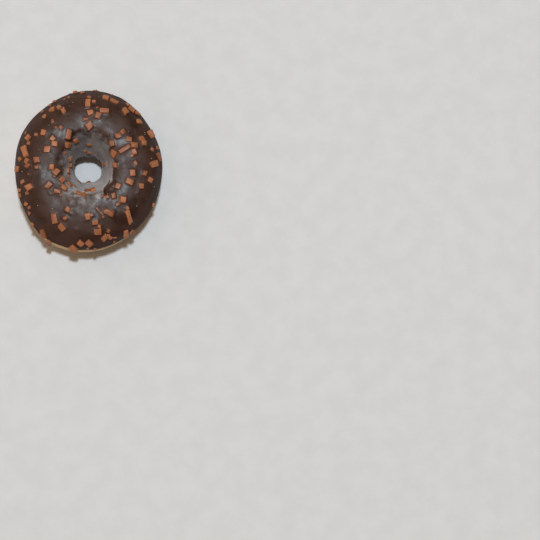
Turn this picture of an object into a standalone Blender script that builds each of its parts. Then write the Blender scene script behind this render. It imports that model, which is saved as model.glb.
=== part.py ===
"""A ring doughnut: a fried dough ring, a dipped coat of dark chocolate icing and the caramel nuggets in it.

A place on the ring is given by two angles. Turn runs round the ring, from +X towards +Y. Roll runs round
its section, from the outer side (0 degrees) over the crest (90) to the wall of the hole (180) and the
underside (270).
"""

import math
import random

import bmesh
import bpy
from mathutils import Matrix, Vector

MM = 0.001

# The bare dough
DOUGH_WIDTH = 83.5 * MM
DOUGH_LENGTH = 94.8 * MM
DOUGH_HEIGHT = 31.5 * MM
# The hole, a funnel from an oval rim down to a round waist, and how much its corners are rounded
WAIST_WIDTH = 15.6 * MM
WAIST_LENGTH = 15.0 * MM
WAIST_HEIGHT = 10.5 * MM
RIM_WIDTH = 29.0 * MM
RIM_LENGTH = 37.0 * MM
RIM_HEIGHT = 28.0 * MM
FUNNEL_ROUNDING = 1.5 * MM
WAIST_CENTRE = Vector((-0.35 * MM, 1.55 * MM))
RIM_CENTRE = Vector((-0.35 * MM, 0.9 * MM))
# Where the ring stands, so that the box over its outermost nuggets is centred on the origin
RING_CENTRE = Vector((-0.4 * MM, 1.14 * MM, 0.0))
BELLY_HEIGHT = 15.4 * MM
SETTLING = 1.2 * MM
SECTION_FULLNESS = 0.92
CREST_LEAN = 0.10

# Unevenness of hand-cut dough: waves round the ring, size, phase
OUTLINE_WAVES = (
    (1, 0.7 * MM, 1.67), (2, 0.87 * MM, -1.57), (3, 0.45 * MM, -1.09),
    (4, 0.42 * MM, 1.56), (5, 0.39 * MM, -1.12),
)
HOLE_WAVES = ((3, 0.3 * MM, 0.8), (4, 0.35 * MM, 3.1), (7, 0.15 * MM, 1.0))
# Broad swells of the surface: waves round the ring and round the section, share of its radius, phase
SWELLS = ((2, 1, 0.010, 0.4), (3, 2, 0.012, 0.7), (5, -1, 0.010, 2.1), (8, 3, 0.006, 4.0))

# The icing, a thin coat from above the belly, over the crest and down into the hole, with edges in degrees
ICING_GAP = 0.3 * MM
ICING_THICKNESS = 1.2 * MM
ICING_RIM = 0.45 * MM
ICING_RIM_SHARE = 0.12
OUTER_EDGE = 8.5
OUTER_EDGE_WAVES = ((1, 6.0, -4.28), (2, 1.5, 2.6), (5, 1.1, 0.9), (9, 0.6, 5.0))
INNER_EDGE = 190.0
INNER_EDGE_WAVES = ((3, 3.0, 1.2), (7, 2.0, 0.3))

# How finely the faceted surfaces are cut
TURNS = 64
DOUGH_ROLLS = 30
ICING_OUTER_ROLLS = 22
ICING_INNER_ROLLS = 16

# Nuggets: length, width and height of each kind, and of a stick only the last two
STICK = (2.9 * MM, 2.4 * MM)
CHUNK = (4.7 * MM, 3.9 * MM, 2.8 * MM)
LUMP = (3.9 * MM, 3.3 * MM, 2.6 * MM)
BLOCK = (3.2 * MM, 2.9 * MM, 2.3 * MM)
MORSEL = (2.4 * MM, 2.1 * MM, 1.8 * MM)
SIZE_SPREAD = 0.08
CORNER_SPREAD = 0.3 * MM
TIP = 0.2 * MM
SINK_SHARE = 0.72
NUGGET_SEED = 17

# Where each nugget lies: turn, roll and heading off the ring's direction, with the length in mm for a stick
STICKS = (
    (24, 93, 105, 6.8), (74, 72, 15, 5.7), (90, 62, 85, 5.6), (123, 102, 40, 5.6), (167, 49, 30, 6.4),
    (236, 25, 145, 5.6), (238, 61, 140, 6.0), (307, 51, 70, 8.4), (298, 29, 65, 5.2), (54, 36, 5, 4.6),
    (9, 30, 25, 5.8), (69, 47, 0, 5.0), (221, 92, 50, 4.4), (242, 13, 90, 4.6),
)
CHUNKS = (
    (88, 99, 40), (24, 115, 40), (337, 83, 90), (247, 55, 155), (29, 31, 10), (2, 46, 115),
    (259, 22, 140),
)
LUMPS = (
    (209, 84, 120), (24, 77, 70), (135, 120, 120), (175, 72, 95), (194, 102, 130), (281, 141, 95),
    (224, 104, 25), (313, 78, 35), (87, 79, 15), (57, 53, 170), (210, 109, 115), (201, 53, 110),
    (79, 82, 85), (160, 87, 5), (294, 73, 40), (277, 54, 170), (282, 41, 25), (349, 83, 15),
    (269, 77, 95), (270, 37, 130), (76, 46, 0),
)
BLOCKS = (
    (49, 31, 45), (117, 134, 170), (28, 60, 85), (173, 157, 85), (185, 95, 170), (224, 125, 100),
    (144, 89, 170), (307, 91, 60), (246, 83, 80), (114, 64, 90), (45, 92, 60), (33, 81, 145),
    (338, 62, 25), (144, 71, 20), (267, 142, 115), (116, 51, 115), (43, 108, 155), (181, 56, 130),
    (276, 68, 0), (290, 79, 35), (303, 21, 15), (122, 47, 40), (251, 113, 15), (190, 143, 90),
    (352, 63, 175), (43, 45, 65), (0, 115, 175), (262, 112, 135), (176, 54, 145), (323, 95, 5),
    (156, 156, 140), (149, 95, 110), (23, 58, 165), (16, 81, 10), (44, 83, 90), (347, 50, 170),
    (182, 31, 170), (264, 36, 140), (154, 47, 155),
)
# The smallest lie at any heading
MORSELS = (
    (126, 86), (235, 142), (205, 45), (279, 61), (16, 44), (89, 48), (286, 38), (85, 58),
    (183, 71), (129, 68), (205, 142), (212, 34), (216, 38), (247, 70), (59, 32), (17, 29),
    (199, 27), (203, 25), (131, 49), (116, 26), (129, 32), (226, 20), (174, 38), (149, 60),
    (159, 52), (86, 160), (194, 41), (85, 22), (330, 20), (15, 162), (94, 31), (93, 89),
    (298, 95), (231, 175), (270, 182), (86, 180), (99, 23),
)

# Colours as linear red, green and blue, with roughness
DOUGH_LOOK = (0.52, 0.30, 0.12), 0.6
ICING_LOOK = (0.028, 0.014, 0.010), 0.35

# Step over which a slope is measured, and the least angle of an edge that is drawn sharp
PROBE = math.radians(0.5)
SHARP_EDGE = math.radians(40)


def ripple(angle, waves):
    """Sum of the waves, each (count, size, phase), at an angle in radians."""
    return sum(size * math.cos(count * angle + phase) for count, size, phase in waves)


def oval(turn, width, length):
    """Distance from the middle of an oval to its outline in the direction of turn."""
    return 1 / math.hypot(math.cos(turn) / (width / 2), math.sin(turn) / (length / 2))


def signed_power(value, power):
    """Power of a value's size, with the value's sign."""
    return math.copysign(abs(value) ** power, value)


def rounded_max(first, second, rounding):
    """The larger of two values, blended where they are close."""
    return (first + second + math.hypot(first - second, rounding)) / 2


def dough_point(turn, roll):
    """Point on the dough's surface at two angles in radians."""
    outward = Vector((math.cos(turn), math.sin(turn)))
    outer = oval(turn, DOUGH_WIDTH, DOUGH_LENGTH) + ripple(turn, OUTLINE_WAVES)
    waist = oval(turn, WAIST_WIDTH, WAIST_LENGTH) + ripple(turn, HOLE_WAVES) + WAIST_CENTRE.dot(outward)
    rim = oval(turn, RIM_WIDTH, RIM_LENGTH) + ripple(turn, HOLE_WAVES) + RIM_CENTRE.dot(outward)
    swell = 1 + sum(
        share * math.cos(round_ring * turn + round_section * roll + phase)
        for round_ring, round_section, share, phase in SWELLS
    )
    across = signed_power(math.cos(roll), SECTION_FULLNESS) - CREST_LEAN * max(math.sin(roll), 0) ** 2
    upward = signed_power(math.sin(roll), SECTION_FULLNESS)
    depth = DOUGH_HEIGHT - BELLY_HEIGHT if upward > 0 else BELLY_HEIGHT + SETTLING
    radius = (outer + waist) / 2 + (outer - waist) / 2 * across * swell
    height = BELLY_HEIGHT + depth * upward * swell
    funnel = waist + (rim - waist) * (height - WAIST_HEIGHT) / (RIM_HEIGHT - WAIST_HEIGHT)
    radius = rounded_max(radius, funnel, FUNNEL_ROUNDING)
    return RING_CENTRE + Vector((radius * outward.x, radius * outward.y, max(0.0, height)))


def surface_frame(turn, roll):
    """Unit vectors along the ring, across it and out of the dough's surface."""
    along = (dough_point(turn + PROBE, roll) - dough_point(turn - PROBE, roll)).normalized()
    across = dough_point(turn, roll + PROBE) - dough_point(turn, roll - PROBE)
    out = along.cross(across).normalized()
    return along, out.cross(along), out


def raised_point(turn, roll, lift):
    """Point that stands a lift clear of the dough's surface."""
    return dough_point(turn, roll) + lift * surface_frame(turn, roll)[2]


def icing_edges(turn):
    """Rolls at which the icing ends, on the outer side and in the hole."""
    outer = OUTER_EDGE + ripple(turn, OUTER_EDGE_WAVES)
    inner = INNER_EDGE + ripple(turn, INNER_EDGE_WAVES)
    return math.radians(outer), math.radians(inner)


def icing_thickness(turn, roll):
    """Thickness of the coat, which rounds off to a thin rim at both edges."""
    outer, inner = icing_edges(turn)
    share = (roll - outer) / (inner - outer)
    from_edge = min(share, 1 - share) / ICING_RIM_SHARE
    swell = math.sin(min(max(from_edge, 0), 1) * math.pi / 2)
    return ICING_RIM + (ICING_THICKNESS - ICING_RIM) * swell


def mesh_of_loops(name, loops):
    """Closed skin over loops of points, each loop round the ring and the last one next to the first."""
    shape = bmesh.new()
    rows = [[shape.verts.new(point) for point in loop] for loop in loops]
    for row, above in zip(rows, rows[1:] + rows[:1]):
        for i in range(len(row)):
            j = (i + 1) % len(row)
            shape.faces.new((row[i], row[j], above[j], above[i]))
    bmesh.ops.recalc_face_normals(shape, faces=shape.faces)
    bmesh.ops.triangulate(shape, faces=shape.faces)
    mesh = bpy.data.meshes.new(name)
    shape.to_mesh(mesh)
    shape.free()
    return mesh


def turns_round():
    """Angles of the faceted surfaces' cuts round the ring."""
    return [math.tau * i / TURNS for i in range(TURNS)]


def build_dough():
    """The bare ring, flat where it rests."""
    rolls = [math.tau * i / DOUGH_ROLLS for i in range(DOUGH_ROLLS)]
    return mesh_of_loops("dough", [[dough_point(turn, roll) for turn in turns_round()] for roll in rolls])


def icing_loop(share, lift_of):
    """Loop of points at one share of the way from the icing's outer edge to its edge in the hole."""
    loop = []
    for turn in turns_round():
        outer, inner = icing_edges(turn)
        roll = outer + share * (inner - outer)
        loop.append(raised_point(turn, roll, lift_of(turn, roll)))
    return loop


def build_icing():
    """The coat: its outer face from the belly to the hole, then its inner face all the way back."""
    outer_face = [
        icing_loop(i / ICING_OUTER_ROLLS, lambda turn, roll: ICING_GAP + icing_thickness(turn, roll))
        for i in range(ICING_OUTER_ROLLS + 1)
    ]
    inner_face = [
        icing_loop(1 - i / ICING_INNER_ROLLS, lambda turn, roll: ICING_GAP)
        for i in range(ICING_INNER_ROLLS + 1)
    ]
    return mesh_of_loops("icing", outer_face + inner_face)


def nugget_points(turn, roll, size, heading, draw):
    """Eight uneven corners of a nugget that lies on the icing, sunk into it by most of the coat's thickness."""
    length, width, height = (side * draw.uniform(1 - SIZE_SPREAD, 1 + SIZE_SPREAD) for side in size)
    thickness = icing_thickness(turn, roll)
    along, across, out = surface_frame(turn, roll)
    lengthwise = Matrix.Rotation(heading, 3, out) @ along
    crosswise = out.cross(lengthwise)
    tip_along, tip_across = (draw.uniform(-TIP, TIP) for _ in range(2))
    middle = raised_point(turn, roll, ICING_GAP + thickness * (1 - SINK_SHARE))
    points = []
    for rise in (0, 1):
        for side, end in ((-1, -1), (1, -1), (1, 1), (-1, 1)):
            forward = end * length / 2 + draw.uniform(-CORNER_SPREAD, CORNER_SPREAD)
            sideways = side * width / 2 + draw.uniform(-CORNER_SPREAD, CORNER_SPREAD)
            tipped = end * tip_along + side * tip_across
            upward = rise * (height + draw.uniform(-CORNER_SPREAD, CORNER_SPREAD)) + max(tipped, 0)
            points.append(middle + forward * lengthwise + sideways * crosswise + upward * out)
    return points


def nugget_mesh(points):
    """Six-sided solid over a nugget's corners, its underside first."""
    mesh = bpy.data.meshes.new("nugget")
    faces = ((0, 1, 2, 3), (7, 6, 5, 4), (4, 5, 1, 0), (5, 6, 2, 1), (6, 7, 3, 2), (7, 4, 0, 3))
    mesh.from_pydata(points, [], faces)
    shape = bmesh.new()
    shape.from_mesh(mesh)
    bmesh.ops.recalc_face_normals(shape, faces=shape.faces)
    bmesh.ops.triangulate(shape, faces=shape.faces)
    shape.to_mesh(mesh)
    shape.free()
    return mesh


def nugget_places(draw):
    """Turn, roll, size and heading, in radians, of every nugget, the largest kinds first."""
    places = [(turn, roll, (length * MM, *STICK), heading) for turn, roll, heading, length in STICKS]
    for size, spots in ((CHUNK, CHUNKS), (LUMP, LUMPS), (BLOCK, BLOCKS)):
        places += [(turn, roll, size, heading) for turn, roll, heading in spots]
    places += [(turn, roll, MORSEL, draw.uniform(0, 180)) for turn, roll in MORSELS]
    return [
        (math.radians(turn), math.radians(roll), size, math.radians(heading)) for turn, roll, size, heading in places
    ]


def build_nuggets():
    """A collection that holds each nugget as an object of its own."""
    nuggets = bpy.data.collections.new("nuggets")
    bpy.context.scene.collection.children.link(nuggets)
    draw = random.Random(NUGGET_SEED)
    for turn, roll, size, heading in nugget_places(draw):
        mesh = nugget_mesh(nugget_points(turn, roll, size, heading, draw))
        nuggets.objects.link(bpy.data.objects.new("nugget", mesh))
    return nuggets


def keep_largest_shell(mesh):
    """Fills the hollows that nuggets seal between them, by taking out every shell but the outermost."""
    shape = bmesh.new()
    shape.from_mesh(mesh)
    unseen = set(shape.verts)
    shells = []
    while unseen:
        front = [unseen.pop()]
        shell = set(front)
        while front:
            near = {edge.other_vert(vert) for vert in front for edge in vert.link_edges} - shell
            shell |= near
            front = list(near)
        unseen -= shell
        shells.append(shell)
    shells.sort(key=len)
    loose = [vert for shell in shells[:-1] for vert in shell]
    bmesh.ops.delete(shape, geom=loose, context="VERTS")
    shape.to_mesh(mesh)
    shape.free()


def fuse(target, pieces):
    """Joins a collection's objects to the target as one body, and removes them."""
    union = target.modifiers.new("fused nuggets", "BOOLEAN")
    union.operation = "UNION"
    union.solver = "MANIFOLD"
    union.operand_type = "COLLECTION"
    union.collection = pieces
    graph = bpy.context.evaluated_depsgraph_get()
    joined = bpy.data.meshes.new_from_object(target.evaluated_get(graph))
    joined.name = target.data.name
    keep_largest_shell(joined)
    target.modifiers.remove(union)
    target.data = joined
    for piece in list(pieces.objects):
        bpy.data.objects.remove(piece)
    bpy.data.collections.remove(pieces)


def finish(name, colour, roughness):
    """A plain material for one sub-part."""
    material = bpy.data.materials.new(name)
    material.use_nodes = True
    shader = material.node_tree.nodes["Principled BSDF"]
    shader.inputs["Base Color"].default_value = (*colour, 1.0)
    shader.inputs["Roughness"].default_value = roughness
    shader.inputs["Metallic"].default_value = 0.0
    return material


def place(name, mesh, material):
    """Puts a mesh in the scene as the named sub-part."""
    mesh.materials.append(material)
    part = bpy.data.objects.new(name, mesh)
    bpy.context.scene.collection.objects.link(part)
    return part


def main():
    for old in list(bpy.data.objects):
        bpy.data.objects.remove(old)
    dough = place("dough", build_dough(), finish("fried dough", *DOUGH_LOOK))
    icing = place("icing", build_icing(), finish("dark icing", *ICING_LOOK))
    fuse(icing, build_nuggets())
    for part in (dough, icing):
        part.data.shade_smooth()
        part.data.set_sharp_from_angle(angle=SHARP_EDGE)


main()
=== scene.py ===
"""Dresses the chocolate ring doughnut: fried dough, a dipped coat of dark icing and caramel nuggets.

A place on the ring is given by two angles. Turn runs round the ring, from +X towards +Y. Roll runs round
its section, from the outer side (0 degrees) over the crest (90) to the wall of the hole (180) and the
underside (270).
"""

import logging
import math
import random
from collections.abc import Iterator
from contextlib import contextmanager
from dataclasses import dataclass
from enum import Enum
from typing import ClassVar

import bpy
import numpy as np
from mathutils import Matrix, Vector


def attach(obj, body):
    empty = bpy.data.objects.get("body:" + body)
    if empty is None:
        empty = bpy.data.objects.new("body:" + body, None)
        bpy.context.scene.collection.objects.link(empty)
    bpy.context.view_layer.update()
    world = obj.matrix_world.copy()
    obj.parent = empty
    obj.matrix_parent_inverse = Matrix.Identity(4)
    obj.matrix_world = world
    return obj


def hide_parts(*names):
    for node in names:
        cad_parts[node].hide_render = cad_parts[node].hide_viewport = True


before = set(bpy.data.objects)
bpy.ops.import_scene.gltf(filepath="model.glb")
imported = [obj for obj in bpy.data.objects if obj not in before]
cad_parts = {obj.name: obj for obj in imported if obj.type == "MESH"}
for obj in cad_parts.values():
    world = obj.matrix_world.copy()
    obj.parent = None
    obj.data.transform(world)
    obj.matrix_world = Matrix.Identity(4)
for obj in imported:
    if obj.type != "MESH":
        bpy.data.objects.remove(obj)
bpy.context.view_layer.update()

log = logging.getLogger("doughnut")

MM = 0.001
WEIGHT_STEPS = 8
Waves = tuple[tuple[int, float, float], ...]
Colour = tuple[float, float, float]
Direction = tuple[float, float, float]
Range = tuple[float, float]
Lumps = tuple[tuple[float, float], ...]


def ripple(angle: np.ndarray, waves: Waves) -> np.ndarray:
    """Sums waves that run round the ring.

    Args:
        angle: Angles in radians.
        waves: Count, size and phase of each wave.

    Returns:
        The sum at each angle, in the unit of the sizes.
    """
    total = np.zeros_like(angle)
    for count, size, phase in waves:
        total = total + size * np.cos(count * angle + phase)
    return total


def unit(vectors: np.ndarray) -> np.ndarray:
    """Returns the vectors at length one."""
    return vectors / np.linalg.norm(vectors, axis=-1, keepdims=True)


def smooth_step(low: float, high: float, value: np.ndarray) -> np.ndarray:
    """Eases from 0 at low to 1 at high.

    Args:
        low: Value that gives 0.
        high: Value that gives 1.
        value: Values to ease.

    Returns:
        Shares from 0 to 1.
    """
    share = np.clip((value - low) / (high - low), 0, 1)
    return share * share * (3 - 2 * share)


def turn_gap(turn: np.ndarray, at_degrees: float) -> np.ndarray:
    """Returns how far each turn is from one in degrees, in radians from -pi to pi."""
    return (turn - math.radians(at_degrees) + math.pi) % math.tau - math.pi


@dataclass(frozen=True)
class RingForm:
    """Form of the bare dough ring, the same as the solid's."""

    width: float = 83.5 * MM
    length: float = 94.8 * MM
    height: float = 31.5 * MM
    waist_width: float = 15.6 * MM
    waist_length: float = 15.0 * MM
    waist_height: float = 10.5 * MM
    rim_width: float = 29.0 * MM
    rim_length: float = 37.0 * MM
    rim_height: float = 28.0 * MM
    funnel_rounding: float = 1.5 * MM
    waist_centre: tuple[float, float] = (-0.35 * MM, 1.55 * MM)
    rim_centre: tuple[float, float] = (-0.35 * MM, 0.9 * MM)
    ring_centre: tuple[float, float, float] = (-0.4 * MM, 1.14 * MM, 0.0)
    belly_height: float = 15.4 * MM
    settling: float = 1.2 * MM
    fullness: float = 0.92
    crest_lean: float = 0.10
    outline_waves: Waves = (
        (1, 0.7 * MM, 1.67),
        (2, 0.87 * MM, -1.57),
        (3, 0.45 * MM, -1.09),
        (4, 0.42 * MM, 1.56),
        (5, 0.39 * MM, -1.12),
    )
    hole_waves: Waves = ((3, 0.3 * MM, 0.8), (4, 0.35 * MM, 3.1), (7, 0.15 * MM, 1.0))
    swells: tuple[tuple[int, int, float, float], ...] = (
        (2, 1, 0.010, 0.4),
        (3, 2, 0.012, 0.7),
        (5, -1, 0.010, 2.1),
        (8, 3, 0.006, 4.0),
    )
    probe: float = math.radians(0.5)

    def oval(self, turn: np.ndarray, width: float, length: float) -> np.ndarray:
        """Measures an oval from its middle to its outline.

        Args:
            turn: Directions in radians.
            width: Size of the oval along X.
            length: Size of the oval along Y.

        Returns:
            The distances.
        """
        return 1 / np.hypot(np.cos(turn) / (width / 2), np.sin(turn) / (length / 2))

    def point(self, turn: np.ndarray, roll: np.ndarray) -> np.ndarray:
        """Finds points on the dough's surface.

        Args:
            turn: Turns in radians.
            roll: Rolls in radians, as many as the turns.

        Returns:
            Points, one row each.
        """
        cos_turn, sin_turn = np.cos(turn), np.sin(turn)
        outer = self.oval(turn, self.width, self.length) + ripple(turn, self.outline_waves)
        waist = self.oval(turn, self.waist_width, self.waist_length) + ripple(turn, self.hole_waves)
        waist = waist + self.waist_centre[0] * cos_turn + self.waist_centre[1] * sin_turn
        rim = self.oval(turn, self.rim_width, self.rim_length) + ripple(turn, self.hole_waves)
        rim = rim + self.rim_centre[0] * cos_turn + self.rim_centre[1] * sin_turn
        swell = 1.0
        for round_ring, round_section, share, phase in self.swells:
            swell = swell + share * np.cos(round_ring * turn + round_section * roll + phase)
        cos_roll, sin_roll = np.cos(roll), np.sin(roll)
        across = np.sign(cos_roll) * np.abs(cos_roll) ** self.fullness
        across = across - self.crest_lean * np.maximum(sin_roll, 0) ** 2
        upward = np.sign(sin_roll) * np.abs(sin_roll) ** self.fullness
        depth = np.where(upward > 0, self.height - self.belly_height, self.belly_height + self.settling)
        radius = (outer + waist) / 2 + (outer - waist) / 2 * across * swell
        height = self.belly_height + depth * upward * swell
        funnel = waist + (rim - waist) * (height - self.waist_height) / (self.rim_height - self.waist_height)
        radius = (radius + funnel + np.hypot(radius - funnel, self.funnel_rounding)) / 2
        points = np.stack((radius * cos_turn, radius * sin_turn, np.maximum(0.0, height)), axis=-1)
        return points + np.array(self.ring_centre)

    def directions(self, turn: np.ndarray, roll: np.ndarray) -> tuple[np.ndarray, np.ndarray, np.ndarray]:
        """Finds how the surface lies at each place.

        Args:
            turn: Turns in radians.
            roll: Rolls in radians.

        Returns:
            Unit vectors along the ring, across it and out of the dough.
        """
        along = unit(self.point(turn + self.probe, roll) - self.point(turn - self.probe, roll))
        across = self.point(turn, roll + self.probe) - self.point(turn, roll - self.probe)
        out = unit(np.cross(along, across))
        return along, np.cross(out, along), out

    def raised(self, turn: np.ndarray, roll: np.ndarray, lift: np.ndarray) -> np.ndarray:
        """Finds points that stand clear of the dough.

        Args:
            turn: Turns in radians.
            roll: Rolls in radians.
            lift: Height of each point above the dough.

        Returns:
            Points, one row each.
        """
        return self.point(turn, roll) + np.asarray(lift)[..., None] * self.directions(turn, roll)[2]


@dataclass(frozen=True)
class CoatForm:
    """Where the dipped coat ends and how thick it is, the same as the solid's."""

    gap: float = 0.3 * MM
    thickness: float = 1.2 * MM
    rim: float = 0.45 * MM
    rim_share: float = 0.12
    outer_edge: float = 8.5
    outer_waves: Waves = ((1, 6.0, -4.28), (2, 1.5, 2.6), (5, 1.1, 0.9), (9, 0.6, 5.0))
    inner_edge: float = 190.0
    inner_waves: Waves = ((3, 3.0, 1.2), (7, 2.0, 0.3))

    def edges(self, turn: np.ndarray) -> tuple[np.ndarray, np.ndarray]:
        """Finds where the coat ends.

        Args:
            turn: Turns in radians.

        Returns:
            Rolls, in radians, of its outer edge and of its edge in the hole.
        """
        outer = self.outer_edge + ripple(turn, self.outer_waves)
        inner = self.inner_edge + ripple(turn, self.inner_waves)
        return np.radians(outer), np.radians(inner)

    def thickness_at(self, turn: np.ndarray, roll: np.ndarray) -> np.ndarray:
        """Finds the coat's thickness, which falls off to a thin rim at both edges.

        Args:
            turn: Turns in radians.
            roll: Rolls in radians.

        Returns:
            Thicknesses in metres.
        """
        outer, inner = self.edges(turn)
        share = (roll - outer) / (inner - outer)
        from_edge = np.minimum(share, 1 - share) / self.rim_share
        swell = np.sin(np.clip(from_edge, 0, 1) * math.pi / 2)
        return self.rim + (self.thickness - self.rim) * swell


class Bench:
    """The few jobs that every piece goes through on the modelling bench."""

    @staticmethod
    def clear() -> None:
        """Lets go of everything that is selected."""
        if bpy.context.mode != "OBJECT":
            bpy.ops.object.mode_set(mode="OBJECT")
        bpy.ops.object.select_all(action="DESELECT")

    @staticmethod
    def hold(piece: bpy.types.Object) -> None:
        """Selects one piece alone and makes it the active one.

        Args:
            piece: The piece.
        """
        Bench.clear()
        piece.select_set(True)
        bpy.context.view_layer.objects.active = piece

    @staticmethod
    def name(name: str) -> bpy.types.Object:
        """Names the primitive that was just added, and its mesh.

        Args:
            name: The name.

        Returns:
            The primitive.
        """
        piece = bpy.context.active_object
        piece.name = name
        piece.data.name = name
        return piece

    @staticmethod
    @contextmanager
    def editing(piece: bpy.types.Object, mode: str = "FACE") -> Iterator[None]:
        """Opens a piece in edit mode for the length of a with block, with nothing selected.

        Args:
            piece: The piece to edit.
            mode: VERT, EDGE or FACE, what the operators select.
        """
        Bench.hold(piece)
        bpy.ops.object.mode_set(mode="EDIT")
        bpy.ops.mesh.select_mode(type=mode)
        bpy.ops.mesh.select_all(action="DESELECT")
        yield
        bpy.ops.object.mode_set(mode="OBJECT")

    @staticmethod
    def settle(piece: bpy.types.Object) -> None:
        """Applies a piece's place, turn and scale, so that its object sits at the origin."""
        Bench.hold(piece)
        bpy.ops.object.transform_apply(location=True, rotation=True, scale=True)

    @staticmethod
    def join(pieces: list[bpy.types.Object], name: str) -> bpy.types.Object:
        """Joins pieces into one, and settles it at the origin.

        Args:
            pieces: The pieces, which are gone afterwards.
            name: Name of the whole.

        Returns:
            The whole.
        """
        Bench.clear()
        for piece in pieces:
            piece.select_set(True)
        bpy.context.view_layer.objects.active = pieces[0]
        bpy.ops.object.join()
        whole = Bench.name(name)
        Bench.settle(whole)
        return whole

    @staticmethod
    def apply(piece: bpy.types.Object, modifier: bpy.types.Modifier) -> None:
        """Applies a modifier to its piece."""
        Bench.hold(piece)
        bpy.ops.object.modifier_apply(modifier=modifier.name)

    @staticmethod
    def points(piece: bpy.types.Object) -> np.ndarray:
        """Reads where a piece's vertices are.

        Args:
            piece: The piece.

        Returns:
            Points, one row each.
        """
        flat = np.empty(len(piece.data.vertices) * 3)
        piece.data.vertices.foreach_get("co", flat)
        return flat.reshape(-1, 3)

    @staticmethod
    def move_to(piece: bpy.types.Object, points: np.ndarray) -> None:
        """Moves a piece's vertices to the given points."""
        piece.data.vertices.foreach_set("co", points.astype(np.float32).ravel())
        piece.data.update()

    @staticmethod
    def mark(piece: bpy.types.Object, name: str, values: np.ndarray) -> None:
        """Writes a value on each vertex, for a material to read.

        Args:
            piece: The piece to mark.
            name: Name of the attribute.
            values: One number for each vertex.
        """
        attribute = piece.data.attributes.get(name) or piece.data.attributes.new(name, "FLOAT", "POINT")
        attribute.data.foreach_set("value", np.asarray(values, dtype=np.float32))

    @staticmethod
    def group(piece: bpy.types.Object, name: str, shares: np.ndarray) -> None:
        """Groups a piece's vertices, each by how much it belongs, in a few even steps.

        Args:
            piece: The piece.
            name: Name of the group.
            shares: How much each vertex belongs, from 0 to 1.
        """
        group = piece.vertex_groups.new(name=name)
        steps = np.round(shares * WEIGHT_STEPS).astype(int)
        for step in range(1, WEIGHT_STEPS + 1):
            group.add(np.flatnonzero(steps == step).tolist(), step / WEIGHT_STEPS, "REPLACE")

    @staticmethod
    def roughen(piece: bpy.types.Object, grain: float, height: float, group: str = "") -> None:
        """Raises and sinks a surface by a soft cloud pattern.

        Args:
            piece: The piece to roughen.
            grain: Size of the lumps in metres.
            height: Difference between the highest and lowest places.
            group: Vertex group that the lumps are kept to, or nothing for all of it.
        """
        clouds = bpy.data.textures.new(f"{piece.name} lumps", "CLOUDS")
        clouds.noise_scale = grain
        clouds.noise_depth = 1
        lumps = piece.modifiers.new("lumps", "DISPLACE")
        lumps.texture = clouds
        lumps.texture_coords = "LOCAL"
        lumps.strength = height
        lumps.mid_level = 0.5
        lumps.vertex_group = group
        Bench.apply(piece, lumps)
        bpy.data.textures.remove(clouds)


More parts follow.
